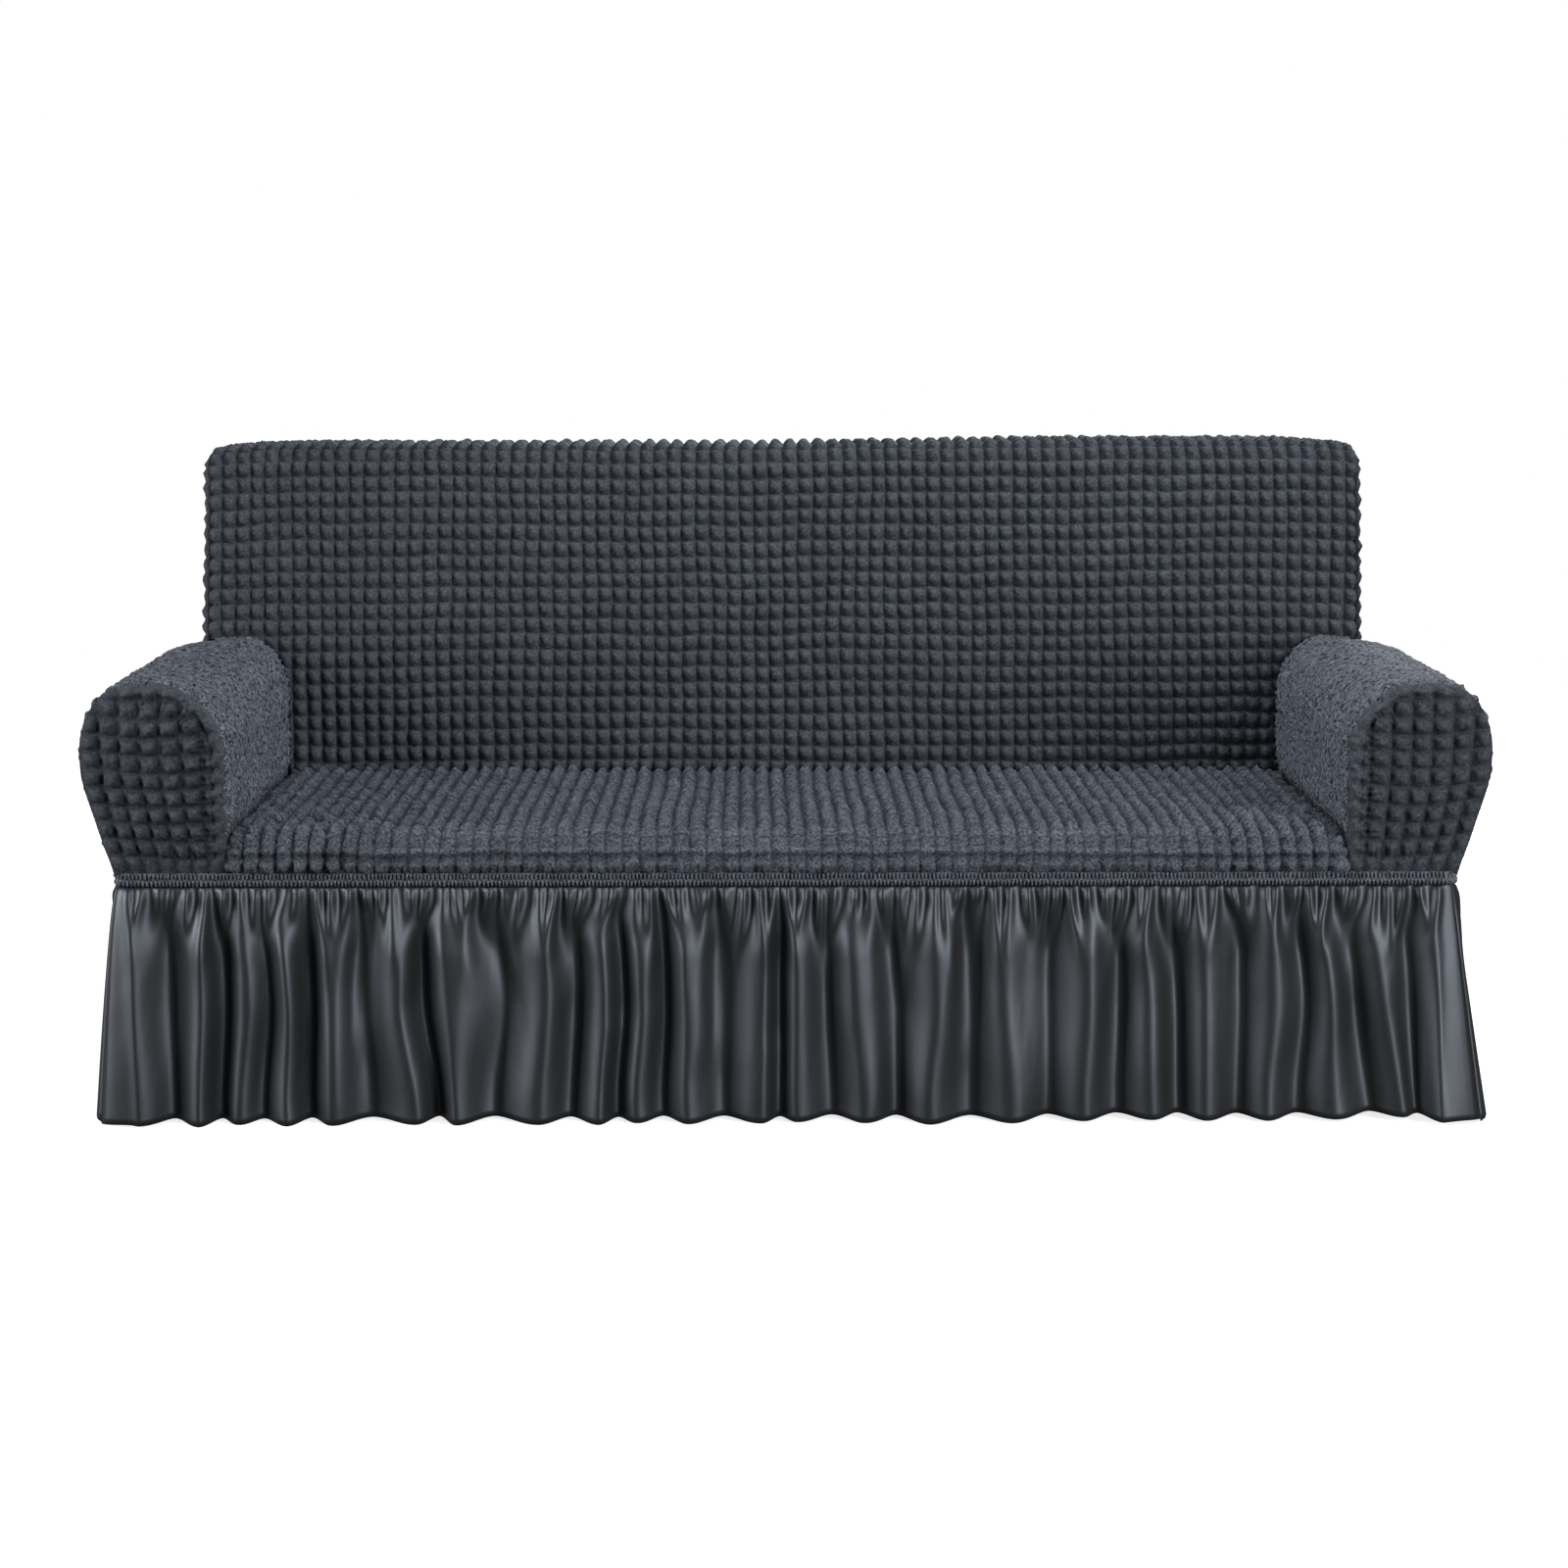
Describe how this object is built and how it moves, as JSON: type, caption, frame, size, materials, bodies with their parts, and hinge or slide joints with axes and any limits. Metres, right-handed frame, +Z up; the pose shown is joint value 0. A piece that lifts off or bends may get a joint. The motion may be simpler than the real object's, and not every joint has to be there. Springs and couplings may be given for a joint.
{
  "type": "sofa slipcover",
  "caption": "Fitted stretch cover for a three-seat sofa with rolled arms: puffed bubble cloth over back, seat and arms, an elastic band, and a gathered skirt to the floor.",
  "frame": {"origin": "on the floor, under the middle of the cover's box", "axes": "+Z up, +X along the sofa to the right as seen from the front, -Y towards the front where the sitter's knees are"},
  "size_m": [2.0985, 1.0101, 0.9791],
  "materials": {
    "bubble_cloth": "matt puffed seersucker knit",
    "arm_cloth": "matt, finely puckered knit",
    "elastic_band": "matt shirred elastic",
    "satin_skirt": "soft satin sheen"
  },
  "bodies": {
    "root": {"seat_panel": "bubble_cloth", "back_panel": "bubble_cloth", "outside_back": "bubble_cloth", "arm_panel_left": "arm_cloth", "arm_panel_right": "arm_cloth", "arm_front_left": "bubble_cloth", "arm_front_right": "bubble_cloth", "elastic_band": "elastic_band", "skirt_front": "satin_skirt", "skirt_right": "satin_skirt", "skirt_rear": "satin_skirt", "skirt_left": "satin_skirt"}
  },
  "joints": []
}
